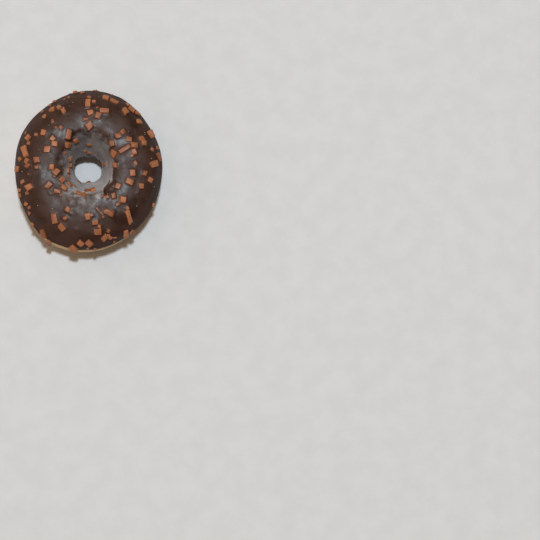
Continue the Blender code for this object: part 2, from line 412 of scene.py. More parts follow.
class Recipe:
    """Lays out the nodes of one material or node group."""

    usual_clouds: ClassVar[Range] = (0.3, 0.7)

    def __init__(self, tree: bpy.types.NodeTree) -> None:
        """Starts on a node tree."""
        self.tree = tree

    def add(self, kind: str, inputs: dict | None = None, **settings: object) -> bpy.types.Node:
        """Adds a node.

        Args:
            kind: Name of the node's type.
            inputs: A value or another node's output for each input, by its name or number.
            **settings: Values of the node's own properties.

        Returns:
            The new node.
        """
        node = self.tree.nodes.new(kind)
        for key, value in settings.items():
            setattr(node, key, value)
        for key, value in (inputs or {}).items():
            if isinstance(value, bpy.types.NodeSocket):
                self.tree.links.new(value, node.inputs[key])
            else:
                node.inputs[key].default_value = value
        return node

    def maths(self, operation: str, *values: object) -> bpy.types.NodeSocket:
        """Adds a Math node.

        Args:
            operation: What it does, such as MULTIPLY.
            *values: Its numbers or other nodes' outputs.

        Returns:
            The output.
        """
        return self.add("ShaderNodeMath", dict(enumerate(values)), operation=operation).outputs[0]

    def noise(self, place: bpy.types.NodeSocket, scale: object, **inputs: float) -> bpy.types.NodeSocket:
        """Adds a cloud pattern.

        Args:
            place: Place on the piece.
            scale: How many clouds there are to a metre, or another node's output.
            **inputs: Values of the texture's other inputs.

        Returns:
            The pattern, from 0 to 1.
        """
        given = {"Vector": place, "Scale": scale, **inputs}
        return self.add("ShaderNodeTexNoise", given).outputs["Fac"]

    def feed(self, node: bpy.types.Node, **outputs: bpy.types.NodeSocket) -> None:
        """Links outputs to a node's inputs, whose names are given with _ for each space."""
        for name, output in outputs.items():
            self.tree.links.new(output, node.inputs[name.replace("_", " ")])

    def fit(
        self, value: bpy.types.NodeSocket, low: float, high: float, to: Range = (0.0, 1.0)
    ) -> bpy.types.NodeSocket:
        """Fits a range of values to another, easing at both ends.

        Args:
            value: Output to fit.
            low: Value that becomes the first of the new range.
            high: Value that becomes its last.
            to: The new range.

        Returns:
            The fitted output.
        """
        inputs = {"Value": value, "From Min": low, "From Max": high, "To Min": to[0], "To Max": to[1]}
        return self.add("ShaderNodeMapRange", inputs, interpolation_type="SMOOTHSTEP").outputs["Result"]

    def blend(self, share: object, first: object, second: object) -> bpy.types.NodeSocket:
        """Blends two colours.

        Args:
            share: How much of the second there is, from 0 to 1.
            first: A colour or another node's output.
            second: A colour or another node's output.

        Returns:
            The blended colour.
        """
        mix = self.add("ShaderNodeMix", {"Factor": share}, data_type="RGBA")
        for socket, value in ((mix.inputs[6], first), (mix.inputs[7], second)):
            if isinstance(value, bpy.types.NodeSocket):
                self.tree.links.new(value, socket)
            else:
                socket.default_value = (*value, 1.0)
        return mix.outputs[2]

    def attribute(self, name: str) -> bpy.types.NodeSocket:
        """Returns the value that a piece carries on its vertices under a name."""
        return self.add("ShaderNodeAttribute", attribute_name=name).outputs["Fac"]

    def frayed(
        self, name: str, clouds: bpy.types.NodeSocket, spread: float, limits: Range
    ) -> bpy.types.NodeSocket:
        """Frays the edge of what a piece's vertices are marked for.

        Args:
            name: Name of the attribute.
            clouds: A cloud pattern.
            spread: How far the clouds move the edge either way.
            limits: Values where the marked area starts and is full.

        Returns:
            How much of it there is, from 0 to 1.
        """
        shift = self.fit(clouds, *self.usual_clouds, (-spread, spread))
        return self.fit(self.maths("ADD", self.attribute(name), shift), *limits)


class MottleGroup:
    """Uneven patches of two sizes over a surface, which every finish uses."""

    name: ClassVar[str] = "mottle"
    usual_values: ClassVar[dict[str, float]] = {"Broad Scale": 90.0, "Fine Scale": 700.0, "Fine Share": 0.4}
    mask_range: ClassVar[Range] = (0.36, 0.64)

    @classmethod
    def tree(cls) -> bpy.types.NodeTree:
        """Returns the node group, built once."""
        return bpy.data.node_groups.get(cls.name) or cls._build()

    @classmethod
    def _build(cls) -> bpy.types.NodeTree:
        """Builds the node group.

        Returns:
            The group.
        """
        tree = bpy.data.node_groups.new(cls.name, "ShaderNodeTree")
        tree.interface.new_socket("Position", in_out="INPUT", socket_type="NodeSocketVector")
        for name, value in cls.usual_values.items():
            socket = tree.interface.new_socket(name, in_out="INPUT", socket_type="NodeSocketFloat")
            socket.default_value = value
        for name in ("Mask", "Height"):
            tree.interface.new_socket(name, in_out="OUTPUT", socket_type="NodeSocketFloat")
        recipe = Recipe(tree)
        given = recipe.add("NodeGroupInput").outputs
        broad = recipe.noise(given["Position"], given["Broad Scale"], Detail=3.0, Roughness=0.55)
        fine = recipe.noise(given["Position"], given["Fine Scale"], Detail=2.0, Roughness=0.6)
        fine_part = recipe.maths("MULTIPLY", fine, given["Fine Share"])
        broad_part = recipe.maths("MULTIPLY", broad, recipe.maths("SUBTRACT", 1.0, given["Fine Share"]))
        mask = recipe.fit(recipe.maths("ADD", broad_part, fine_part), *cls.mask_range)
        recipe.add("NodeGroupOutput", {"Mask": mask, "Height": fine})
        return tree


@dataclass(frozen=True)
class Glow:
    """Light that goes in and comes out again: its share, the reach of each colour, and that reach's size."""

    weight: float
    reach: Colour
    scale: float

    def dress(self, shader: bpy.types.Node) -> None:
        """Sets the glow on a shader's own sockets.

        Args:
            shader: The shader.
        """
        shader.inputs["Subsurface Weight"].default_value = self.weight
        shader.inputs["Subsurface Radius"].default_value = self.reach
        shader.inputs["Subsurface Scale"].default_value = self.scale


@dataclass(frozen=True)
class Finish:
    """What all the finishes share: one shader, gloss, relief, and uneven patches of two sizes.

    The patches and the grain are sizes in metres, and so is the relief. The roughness is a pair of values,
    between which it varies, and the fine share is how much the grain counts beside the patches.
    """

    name: str
    patches: float
    grain: float
    fine_share: float
    relief: float
    roughness: Range
    specular: float

    def start(self) -> tuple[bpy.types.Material, Recipe, bpy.types.Node, bpy.types.NodeSocket]:
        """Makes a material with an even gloss.

        Returns:
            The material, its recipe, its main shader and the place on the piece.
        """
        material = bpy.data.materials.new(self.name)
        material.use_nodes = True
        recipe = Recipe(material.node_tree)
        shader = material.node_tree.nodes["Principled BSDF"]
        shader.inputs["Specular IOR Level"].default_value = self.specular
        place = recipe.add("ShaderNodeTexCoord").outputs["Object"]
        return material, recipe, shader, place

    def mottle(
        self, recipe: Recipe, place: bpy.types.NodeSocket
    ) -> tuple[bpy.types.NodeSocket, bpy.types.NodeSocket]:
        """Adds the shared mottle group with this finish's own values.

        Args:
            recipe: Recipe of the material.
            place: Place on the piece.

        Returns:
            The mask of the patches and the height of the grain.
        """
        node = recipe.add("ShaderNodeGroup", node_tree=MottleGroup.tree())
        recipe.feed(node, Position=place)
        node.inputs["Broad Scale"].default_value = 1 / self.patches
        node.inputs["Fine Scale"].default_value = 1 / self.grain
        node.inputs["Fine Share"].default_value = self.fine_share
        return node.outputs["Mask"], node.outputs["Height"]

    def bump(self, recipe: Recipe, shader: bpy.types.Node, height: bpy.types.NodeSocket) -> None:
        """Gives the shader this finish's relief, by a height from 0 to 1."""
        inputs = {"Height": height, "Strength": 1.0, "Distance": self.relief}
        recipe.feed(shader, Normal=recipe.add("ShaderNodeBump", inputs).outputs["Normal"])


@dataclass(frozen=True)
class IcingFinish(Finish):
    """Dark chocolate icing that has set, with a painted reflection: a grey sheen painted down the wall of the
    hole.
    """

    name: str = "dark chocolate icing"
    patches: float = 9 * MM
    grain: float = 0.9 * MM
    fine_share: float = 0.25
    relief: float = 0.05 * MM
    roughness: Range = (0.40, 0.58)
    specular: float = 0.47
    dark: Colour = (0.029, 0.0088, 0.0040)
    lighter: Colour = (0.050, 0.0170, 0.0086)
    # Grey painted reflection: the sheen of the hole's wall, painted into the base colour.
    painted_sheen: Colour = (0.570, 0.560, 0.568)
    clouds_to_a_metre: float = 170.0
    ragged_edge: float = 0.25
    painted_sheen_range: Range = (0.1, 0.95)
    cloud_range: Range = (0.25, 0.75)
    faintest_painted_sheen: float = 0.6
    duller_at_edge: float = 0.30
    wrinkles_to_a_metre: float = 1100.0
    wrinkle_height: float = 4.0

    def material(self) -> bpy.types.Material:
        """Builds the material.

        Returns:
            The material.
        """
        material, recipe, shader, place = self.start()
        mask, grain = self.mottle(recipe, place)
        chocolate = recipe.blend(mask, self.dark, self.lighter)
        rough = recipe.fit(mask, 0.0, 1.0, self.roughness)
        duller = recipe.maths("MULTIPLY", recipe.attribute("near edge"), self.duller_at_edge)
        # The base colour blends in a painted reflection, a grey sheen on the hole's wall.
        recipe.feed(
            shader,
            Base_Color=recipe.blend(self._painted_sheen_cover(recipe, place), chocolate, self.painted_sheen),
            Roughness=recipe.maths("ADD", rough, duller),
        )
        wrinkles = recipe.noise(place, self.wrinkles_to_a_metre, Detail=2.0, Distortion=1.5)
        creased = recipe.maths("MULTIPLY", wrinkles, recipe.attribute("wrinkled"))
        height = recipe.maths("ADD", grain, recipe.maths("MULTIPLY", creased, self.wrinkle_height))
        self.bump(recipe, shader, height)
        return material

    def _painted_sheen_cover(self, recipe: Recipe, place: bpy.types.NodeSocket) -> bpy.types.NodeSocket:
        """Lays the painted reflection: a cloudy grey sheen with a ragged edge, where the coat is marked for
        it.

        Args:
            recipe: Recipe of the material.
            place: Place on the piece.

        Returns:
            How much of the painted reflection shows, from 0 to 1.
        """
        clouds = recipe.noise(place, self.clouds_to_a_metre, Detail=4.0, Roughness=0.6)
        edge = recipe.frayed("painted_sheen", clouds, self.ragged_edge, self.painted_sheen_range)
        sheen_cover = recipe.maths("MULTIPLY", edge, recipe.attribute("painted sheen depth"))
        cloudy = recipe.fit(clouds, *self.cloud_range, (self.faintest_painted_sheen, 1.0))
        return recipe.maths("MULTIPLY", sheen_cover, cloudy)


@dataclass(frozen=True)
class DoughFinish(Finish):
    """Fried dough: golden brown, with a pale belt at half height that the hot fat never reached, and painted
    shade down in the hole.
    """

    name: str = "fried dough"
    patches: float = 5 * MM
    grain: float = 0.6 * MM
    fine_share: float = 0.35
    relief: float = 0.16 * MM
    roughness: Range = (0.50, 0.72)
    specular: float = 0.3
    golden: Colour = (0.40, 0.185, 0.060)
    browned_and_shaded: Colour = (0.235, 0.085, 0.024)
    pale: Colour = (0.72, 0.52, 0.275)
    scorched: Colour = (0.120, 0.050, 0.020)
    # Painted shade: the dark colour given to the dough deep in the hole.
    painted_hole_shade: Colour = (0.105, 0.030, 0.010)
    freckles_to_a_metre: float = 520.0
    freckle_size: Range = (0.30, 0.12)
    freckle_strength: float = 0.35
    freckle_depth: float = 0.5
    belt_clouds_to_a_metre: float = 240.0
    ragged_belt: float = 0.22
    belt_range: Range = (0.25, 0.85)
    pores_to_a_metre: float = 900.0
    glow: Glow = Glow(0.08, (1.2, 0.7, 0.35), 1 * MM)

    def material(self) -> bpy.types.Material:
        """Builds the material.

        Returns:
            The material.
        """
        material, recipe, shader, place = self.start()
        mask, _ = self.mottle(recipe, place)
        fried = recipe.blend(mask, self.golden, self.browned_and_shaded)
        cells = {"Vector": place, "Scale": self.freckles_to_a_metre, "Randomness": 1.0}
        freckle = recipe.fit(
            recipe.add("ShaderNodeTexVoronoi", cells).outputs["Distance"], *self.freckle_size
        )
        freckled = recipe.maths("MULTIPLY", freckle, self.freckle_strength)
        fried = recipe.blend(freckled, fried, self.scorched)
        clouds = recipe.noise(place, self.belt_clouds_to_a_metre, Detail=4.0, Roughness=0.65)
        belt = recipe.frayed("belt", clouds, self.ragged_belt, self.belt_range)
        colour = recipe.blend(belt, fried, self.pale)
        # In the hole the base colour turns to a painted shade.
        recipe.feed(
            shader,
            Base_Color=recipe.blend(recipe.attribute("painted hole shade"), colour, self.painted_hole_shade),
            Roughness=recipe.fit(belt, 0.0, 1.0, self.roughness),
        )
        pores = recipe.noise(place, self.pores_to_a_metre, Detail=3.0, Roughness=0.7)
        pits = recipe.maths("MULTIPLY", freckle, self.freckle_depth)
        self.bump(recipe, shader, recipe.maths("SUBTRACT", pores, pits))
        self.glow.dress(shader)
        return material


@dataclass(frozen=True)
class CaramelFinish(Finish):
    """Waxy caramel, each nugget a shade of its own."""

    name: str = "caramel"
    patches: float = 1.6 * MM
    grain: float = 0.35 * MM
    fine_share: float = 0.45
    relief: float = 0.05 * MM
    roughness: Range = (0.40, 0.56)
    specular: float = 0.42
    deep: Colour = (0.222, 0.068, 0.024)
    light: Colour = (0.472, 0.178, 0.076)
    sugared: Colour = (0.640, 0.360, 0.200)
    own_tone: float = 0.65
    patchiness: float = 0.35
    dust_range: Range = (0.60, 0.78)
    most_dust: float = 0.45
    glow: Glow = Glow(0.12, (1.0, 0.35, 0.12), 0.8 * MM)

    def material(self) -> bpy.types.Material:
        """Builds the material.

        Returns:
            The material.
        """
        material, recipe, shader, place = self.start()
        mask, grain = self.mottle(recipe, place)
        patchy = recipe.maths("MULTIPLY", mask, self.patchiness)
        tone = recipe.maths("MULTIPLY", recipe.attribute("tone"), self.own_tone)
        colour = recipe.blend(recipe.maths("ADD", patchy, tone), self.deep, self.light)
        dust = recipe.fit(grain, *self.dust_range, (0.0, self.most_dust))
        recipe.feed(
            shader,
            Base_Color=recipe.blend(dust, colour, self.sugared),
            Roughness=recipe.fit(mask, 0.0, 1.0, self.roughness),
        )
        self.bump(recipe, shader, grain)
        self.glow.dress(shader)
        return material


@dataclass(frozen=True)
class PaperFinish(Finish):
    """Plain pale paper."""

    name: str = "pale paper"
    patches: float = 12 * MM
    grain: float = 0.8 * MM
    fine_share: float = 0.3
    relief: float = 0.02 * MM
    roughness: Range = (0.8, 0.8)
    specular: float = 0.2
    white: Colour = (0.708, 0.722, 0.728)
    fibre: Colour = (0.675, 0.687, 0.692)

    def material(self) -> bpy.types.Material:
        """Builds the material.

        Returns:
            The material.
        """
        material, recipe, shader, place = self.start()
        mask, grain = self.mottle(recipe, place)
        recipe.feed(shader, Base_Color=recipe.blend(mask, self.white, self.fibre))
        shader.inputs["Roughness"].default_value = self.roughness[0]
        self.bump(recipe, shader, grain)
        return material


class RingShaper:
    """Starts a piece as a torus, whose vertices each have a turn and a roll."""

    seam: ClassVar[float] = 1e-5

    @staticmethod
    def torus(
        name: str, form: RingForm, turns: int, rolls: int
    ) -> tuple[bpy.types.Object, np.ndarray, np.ndarray]:
        """Adds a torus in the ring's place, to be bent to its form.

        Args:
            name: Name of the piece.
            form: Form of the dough ring.
            turns: Vertices round the ring.
            rolls: Vertices round its section.

        Returns:
            The torus, and the turn and roll of each vertex.
        """
        Bench.clear()
        bpy.ops.mesh.primitive_torus_add(
            major_segments=turns,
            minor_segments=rolls,
            major_radius=form.width / 3,
            minor_radius=form.height / 2,
            location=form.ring_centre,
        )
        torus = Bench.name(name)
        turn, roll = RingShaper._angles(torus, form.width / 3)
        Bench.settle(torus)
        return torus, turn, roll

    @staticmethod
    def _angles(torus: bpy.types.Object, major_radius: float) -> tuple[np.ndarray, np.ndarray]:
        """Finds the turn and roll of each vertex.

        Args:
            torus: A torus as it was added, before its place is applied.
            major_radius: Its larger radius.

        Returns:
            Turns and rolls in radians, from 0 to one full turn.
        """
        points = Bench.points(torus)
        turn = np.arctan2(points[:, 1], points[:, 0]) % math.tau
        roll = np.arctan2(points[:, 2], np.hypot(points[:, 0], points[:, 1]) - major_radius)
        roll = np.where(np.abs(roll) < RingShaper.seam, 0.0, roll % math.tau)
        return turn, roll


@dataclass
class DoughRing:
    """The fried ring itself, flat where it rests.

    Ranges that a value fades over are rolls in degrees, apart from the belt's, which is a share of its half
    height. Lumps are pairs of size and height.
    """

    form: RingForm
    finish: DoughFinish
    turns: int = 300
    rolls: int = 110
    belt_height: float = 15.2 * MM
    belt_half: float = 3.6 * MM
    belt_waves: Waves = ((3, 0.9 * MM, 0.4), (5, 0.6 * MM, 2.0), (11, 0.3 * MM, 1.0))
    belt_fades: Range = (0.55, 1.35)
    skin_starts: Range = (196, 214)
    skin_ends: Range = (359, 352)
    skin_lumps: Lumps = ((7 * MM, 0.5 * MM), (1.6 * MM, 0.22 * MM))
    # How much painted shade darkens the dough in the hole, and the rolls over which it fades in and out.
    hole_shade_strength: float = 0.95
    hole_shade_starts: Range = (160, 180)
    hole_shade_ends: Range = (262, 238)

    def build(self) -> bpy.types.Object:
        """Builds the ring from a torus, with lumps where no icing covers it.

        Returns:
            The ring.
        """
        ring, turn, roll = RingShaper.torus("dough_ring", self.form, self.turns, self.rolls)
        Bench.move_to(ring, self.form.point(turn, roll))
        degrees = np.degrees(roll) % 360
        bare = smooth_step(*self.skin_starts, degrees) * smooth_step(*self.skin_ends, degrees)
        Bench.group(ring, "bare skin", bare)
        for grain, height in self.skin_lumps:
            Bench.roughen(ring, grain, height, "bare skin")
        points = Bench.points(ring)
        points[:, 2] = np.maximum(points[:, 2], 0)
        Bench.move_to(ring, points)
        self._mark_belt(ring, turn, roll)
        Bench.hold(ring)
        bpy.ops.object.shade_smooth()
        ring.data.materials.append(self.finish.material())
        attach(ring, "root")
        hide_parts("dough")
        return ring

    def _mark_belt(self, ring: bpy.types.Object, turn: np.ndarray, roll: np.ndarray) -> None:
        """Marks how pale each vertex is, in a belt round the outside, and how much painted shade darkens it
        in the hole.

        Args:
            ring: The ring.
            turn: Turn of each vertex.
            roll: Roll of each vertex.
        """
        height = Bench.points(ring)[:, 2] - self.belt_height - ripple(turn, self.belt_waves)
        belt = 1 - smooth_step(*self.belt_fades, np.abs(height) / self.belt_half)
        outside = (np.cos(roll) > 0).astype(float)
        Bench.mark(ring, "belt", belt * outside)
        # Painted shade in the hole, strongest down its wall.
        degrees = np.degrees(roll) % 360
        browned_and_shaded = self.hole_shade_strength * smooth_step(*self.hole_shade_starts, degrees)
        Bench.mark(ring, "painted hole shade", browned_and_shaded * smooth_step(*self.hole_shade_ends, degrees))


class NuggetKind(Enum):
    """Length, width and height of each kind of nugget, and of a stick the last two."""

    STICK = (2.9 * MM, 2.4 * MM)
    CHUNK = (4.7 * MM, 3.9 * MM, 2.8 * MM)
    LUMP = (3.9 * MM, 3.3 * MM, 2.6 * MM)
    BLOCK = (3.2 * MM, 2.9 * MM, 2.3 * MM)
    MORSEL = (2.4 * MM, 2.1 * MM, 1.8 * MM)


@dataclass(frozen=True)
class Nugget:
    """One nugget: its eight corners, where it stands and how it lies."""

    corners: dict[tuple[int, int, int], np.ndarray]
    middle: np.ndarray
    lengthwise: np.ndarray
    crosswise: np.ndarray
    length: float
    width: float


@dataclass(frozen=True)
class NuggetScatter:
    """The rule by which the nuggets lie, the same as the solid's."""

    form: RingForm
    coat: CoatForm
    seed: int = 17
    size_spread: float = 0.08
    corner_spread: float = 0.3 * MM
    tip: float = 0.2 * MM
    sink_share: float = 0.72
    sticks: tuple[tuple[int, int, int, float], ...] = (
        (24, 93, 105, 6.8), (74, 72, 15, 5.7), (90, 62, 85, 5.6), (123, 102, 40, 5.6), (167, 49, 30, 6.4),
        (236, 25, 145, 5.6), (238, 61, 140, 6.0), (307, 51, 70, 8.4), (298, 29, 65, 5.2), (54, 36, 5, 4.6),
        (9, 30, 25, 5.8), (69, 47, 0, 5.0), (221, 92, 50, 4.4), (242, 13, 90, 4.6),
    )
    chunks: tuple[tuple[int, int, int], ...] = (
        (88, 99, 40), (24, 115, 40), (337, 83, 90), (247, 55, 155), (29, 31, 10), (2, 46, 115),
        (259, 22, 140),
    )
    lumps: tuple[tuple[int, int, int], ...] = (
        (209, 84, 120), (24, 77, 70), (135, 120, 120), (175, 72, 95), (194, 102, 130), (281, 141, 95),
        (224, 104, 25), (313, 78, 35), (87, 79, 15), (57, 53, 170), (210, 109, 115), (201, 53, 110),
        (79, 82, 85), (160, 87, 5), (294, 73, 40), (277, 54, 170), (282, 41, 25), (349, 83, 15),
        (269, 77, 95), (270, 37, 130), (76, 46, 0),
    )
    blocks: tuple[tuple[int, int, int], ...] = (
        (49, 31, 45), (117, 134, 170), (28, 60, 85), (173, 157, 85), (185, 95, 170), (224, 125, 100),
        (144, 89, 170), (307, 91, 60), (246, 83, 80), (114, 64, 90), (45, 92, 60), (33, 81, 145),
        (338, 62, 25), (144, 71, 20), (267, 142, 115), (116, 51, 115), (43, 108, 155), (181, 56, 130),
        (276, 68, 0), (290, 79, 35), (303, 21, 15), (122, 47, 40), (251, 113, 15), (190, 143, 90),
        (352, 63, 175), (43, 45, 65), (0, 115, 175), (262, 112, 135), (176, 54, 145), (323, 95, 5),
        (156, 156, 140), (149, 95, 110), (23, 58, 165), (16, 81, 10), (44, 83, 90), (347, 50, 170),
        (182, 31, 170), (264, 36, 140), (154, 47, 155),
    )
    morsels: tuple[tuple[int, int], ...] = (
        (126, 86), (235, 142), (205, 45), (279, 61), (16, 44), (89, 48), (286, 38), (85, 58),
        (183, 71), (129, 68), (205, 142), (212, 34), (216, 38), (247, 70), (59, 32), (17, 29),
        (199, 27), (203, 25), (131, 49), (116, 26), (129, 32), (226, 20), (174, 38), (149, 60),
        (159, 52), (86, 160), (194, 41), (85, 22), (330, 20), (15, 162), (94, 31), (93, 89),
        (298, 95), (231, 175), (270, 182), (86, 180), (99, 23),
    )

    def places(self, draw: random.Random) -> list[tuple[float, float, tuple[float, ...], float]]:
        """Lists where the nuggets lie, the largest kinds first.

        Args:
            draw: The seeded draw.

        Returns:
            Turn, roll, size and heading of each, with the angles in radians.
        """
        places = [
            (turn, roll, (length * MM, *NuggetKind.STICK.value), heading)
            for turn, roll, heading, length in self.sticks
        ]
        for kind, spots in (
            (NuggetKind.CHUNK, self.chunks), (NuggetKind.LUMP, self.lumps), (NuggetKind.BLOCK, self.blocks)
        ):
            places += [(turn, roll, kind.value, heading) for turn, roll, heading in spots]
        places += [(turn, roll, NuggetKind.MORSEL.value, draw.uniform(0, 180)) for turn, roll in self.morsels]
        return [
            (math.radians(turn), math.radians(roll), size, math.radians(heading))
            for turn, roll, size, heading in places
        ]

    def nugget(
        self, turn: float, roll: float, size: tuple[float, ...], heading: float, draw: random.Random
    ) -> Nugget:
        """Cuts one nugget, sunk into the icing by most of the coat's thickness.

        Args:
            turn: Its turn in radians.
            roll: Its roll in radians.
            size: Its length, width and height before they vary.
            heading: Its turn off the ring's direction in radians.
            draw: The seeded draw.

        Returns:
            The nugget.
        """
        turn, roll = np.float64(turn), np.float64(roll)
        length, width, height = (
            side * draw.uniform(1 - self.size_spread, 1 + self.size_spread) for side in size
        )
        thickness = float(self.coat.thickness_at(turn, roll))
        along, _, out = self.form.directions(turn, roll)
        lengthwise = along * math.cos(heading) + np.cross(out, along) * math.sin(heading)
        crosswise = np.cross(out, lengthwise)
        tip_along, tip_across = (draw.uniform(-self.tip, self.tip) for _ in range(2))
        lift = self.coat.gap + thickness * (1 - self.sink_share)
        middle = self.form.raised(turn, roll, np.float64(lift))
        corners = {}
        for rise in (0, 1):
            for side, end in ((-1, -1), (1, -1), (1, 1), (-1, 1)):
                forward = end * length / 2 + draw.uniform(-self.corner_spread, self.corner_spread)
                sideways = side * width / 2 + draw.uniform(-self.corner_spread, self.corner_spread)
                tipped = end * tip_along + side * tip_across
                upward = rise * (height + draw.uniform(-self.corner_spread, self.corner_spread))
                upward = upward + max(tipped, 0)
                corner = middle + forward * lengthwise + sideways * crosswise + upward * out
                corners[(end, side, rise)] = corner
        return Nugget(corners, middle, lengthwise, crosswise, length, width)

    def all(self) -> list[Nugget]:
        """Returns every nugget that the solid has, at the same corners."""
        draw = random.Random(self.seed)
        return [self.nugget(*place, draw) for place in self.places(draw)]


@dataclass(frozen=True)
class ChipScatter:
    """Small chips and slivers of caramel between the nuggets."""

    scatter: NuggetScatter
    seed: int = 5
    chip: tuple[float, float, float] = (1.9 * MM, 1.6 * MM, 1.3 * MM)
    sliver: tuple[float, float] = (1.1 * MM, 1.0 * MM)
    slivers: tuple[tuple[int, int, int, float], ...] = (
        (83, 69, 0, 3.5), (283, 82, 115, 5.6), (288, 35, 155, 4.0), (58, 54, 140, 4.6),
    )
    chips: tuple[tuple[int, int], ...] = (
        (154, 120), (105, 37), (121, 30), (259, 58), (311, 64), (274, 20), (288, 24), (189, 54),
        (228, 94), (273, 79), (219, 31), (151, 34), (161, 24), (285, 43), (252, 93), (244, 97),
        (217, 82), (131, 80), (292, 100), (286, 50), (285, 73), (2, 80), (13, 85), (269, 25),
        (1, 53), (99, 177), (305, 79),
    )
    chip_share: Range = (0.75, 1.2)
    crumbs: int = 16
    crumb_share: Range = (0.35, 0.7)
    crumb_rolls: Range = (15, 140)

    def all(self) -> list[Nugget]:
        """Cuts the slivers, the chips and then the crumbs.

        Returns:
            Every small piece of caramel.
        """
        draw = random.Random(self.seed)
        pieces = []
        for turn, roll, heading, length in self.slivers:
            pieces.append(self._cut(turn, roll, (length * MM, *self.sliver), heading, draw))
        for turn, roll in self.chips:
            size = self._chip_size(draw, self.chip_share)
            pieces.append(self._cut(turn, roll, size, draw.uniform(0, 180), draw))
        for _ in range(self.crumbs):
            size = self._chip_size(draw, self.crumb_share)
            turn, roll = draw.uniform(0, 360), draw.uniform(*self.crumb_rolls)
            pieces.append(self._cut(turn, roll, size, draw.uniform(0, 180), draw))
        return pieces

    def _chip_size(self, draw: random.Random, shares: Range) -> tuple[float, ...]:
        """Returns a chip's three sizes times a drawn share."""
        share = draw.uniform(*shares)
        return tuple(side * share for side in self.chip)

    def _cut(
        self, turn: float, roll: float, size: tuple[float, ...], heading: float, draw: random.Random
    ) -> Nugget:
        """Cuts one small piece, given its angles in degrees.

        Args:
            turn: Its turn.
            roll: Its roll.
            size: Its length, width and height.
            heading: Its turn off the ring's direction.
            draw: The seeded draw.

        Returns:
            The piece.
        """
        turn, roll, heading = map(math.radians, (turn, roll, heading))
        return self.scatter.nugget(turn, roll, size, heading, draw)


@dataclass
class Topping:
    """Pieces of caramel cut as blocks, with worn edges and uneven waxy faces."""

    name: str
    pieces: list[Nugget]
    finish: CaramelFinish
    worn: float
    cuts: int
    unevenness: float
    seed: int = 3
    fullness: float = 1.05
    wear: float = 0.13
    chipped_share: float = 0.6
    chipped: Range = (0.22, 0.45)
    lump_size: float = 1.3 * MM
    warmth: float = 0.5
    crisp_from: float = math.radians(35)

    def build(self) -> bpy.types.Object:
        """Cuts every piece from a cube and joins them.

        Returns:
            The topping.
        """
        draw = random.Random(self.seed)
        topping = Bench.join([self._cut(piece, draw) for piece in self.pieces], self.name)
        with Bench.editing(topping, "EDGE"):
            bpy.ops.mesh.select_all(action="SELECT")
            bpy.ops.mesh.bevel(offset=self.worn, segments=2, profile=0.5, affect="EDGES", clamp_overlap=True)
            if self.cuts:
                bpy.ops.mesh.select_all(action="SELECT")
                bpy.ops.mesh.subdivide(number_cuts=self.cuts)
        self._soften(topping)
        Bench.roughen(topping, self.lump_size, self.unevenness)
        Bench.hold(topping)
        bpy.ops.object.shade_smooth_by_angle(angle=self.crisp_from)
        topping.data.materials.append(self.finish.material())
        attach(topping, "root")
        return topping

    def _soften(self, topping: bpy.types.Object) -> None:
        """Rounds the corners a little more, as caramel that has grown warm.

        Args:
            topping: The joined pieces.
        """
        rounding = topping.modifiers.new("rounding", "SMOOTH")
        rounding.factor = self.warmth
        rounding.iterations = 1
        Bench.apply(topping, rounding)

    def _wear(self, piece: Nugget, draw: random.Random) -> dict[tuple[int, int, int], float]:
        """Draws how far each upper corner is worn back, with one chipped off on most pieces.

        Args:
            piece: The piece.
            draw: The seeded draw.

        Returns:
            Shares of the way to the piece's middle, for each corner.
        """
        upper = [corner for corner in piece.corners if corner[2]]
        worn = {corner: draw.uniform(0, self.wear) for corner in upper}
        if draw.random() < self.chipped_share:
            worn[draw.choice(upper)] = draw.uniform(*self.chipped)
        return worn

    def _cut(self, piece: Nugget, draw: random.Random) -> bpy.types.Object:
        """Cuts one piece from a cube, with a shade of its own.

        Args:
            piece: Its corners.
            draw: The seeded draw.

        Returns:
            The cut cube.
        """
        bpy.ops.mesh.primitive_cube_add(size=2)
        cube = bpy.context.active_object
        middle = np.mean(list(piece.corners.values()), axis=0)
        worn = self._wear(piece, draw)
        for vertex in cube.data.vertices:
            end, side, rise = (round(value) for value in vertex.co)
            corner = (end, side, max(rise, 0))
            reach = self.fullness - worn.get(corner, 0.0)
            vertex.co = middle + (piece.corners[corner] - middle) * reach
        Bench.mark(cube, "tone", np.full(len(cube.data.vertices), draw.random()))
        return cube


@dataclass(frozen=True)
class Crease:
    """A fold in the icing, along a line of turns and rolls in degrees."""

    line: tuple[tuple[float, float], ...]
    width: float
    depth: float


@dataclass(frozen=True)
class Spot:
    """A round spot on the coat, at a turn and roll in degrees."""

    turn: float
    roll: float
    radius: float


@dataclass(frozen=True)
class Dimple(Spot):
    """A round hollow, or a lump if its depth is below 0."""

    depth: float


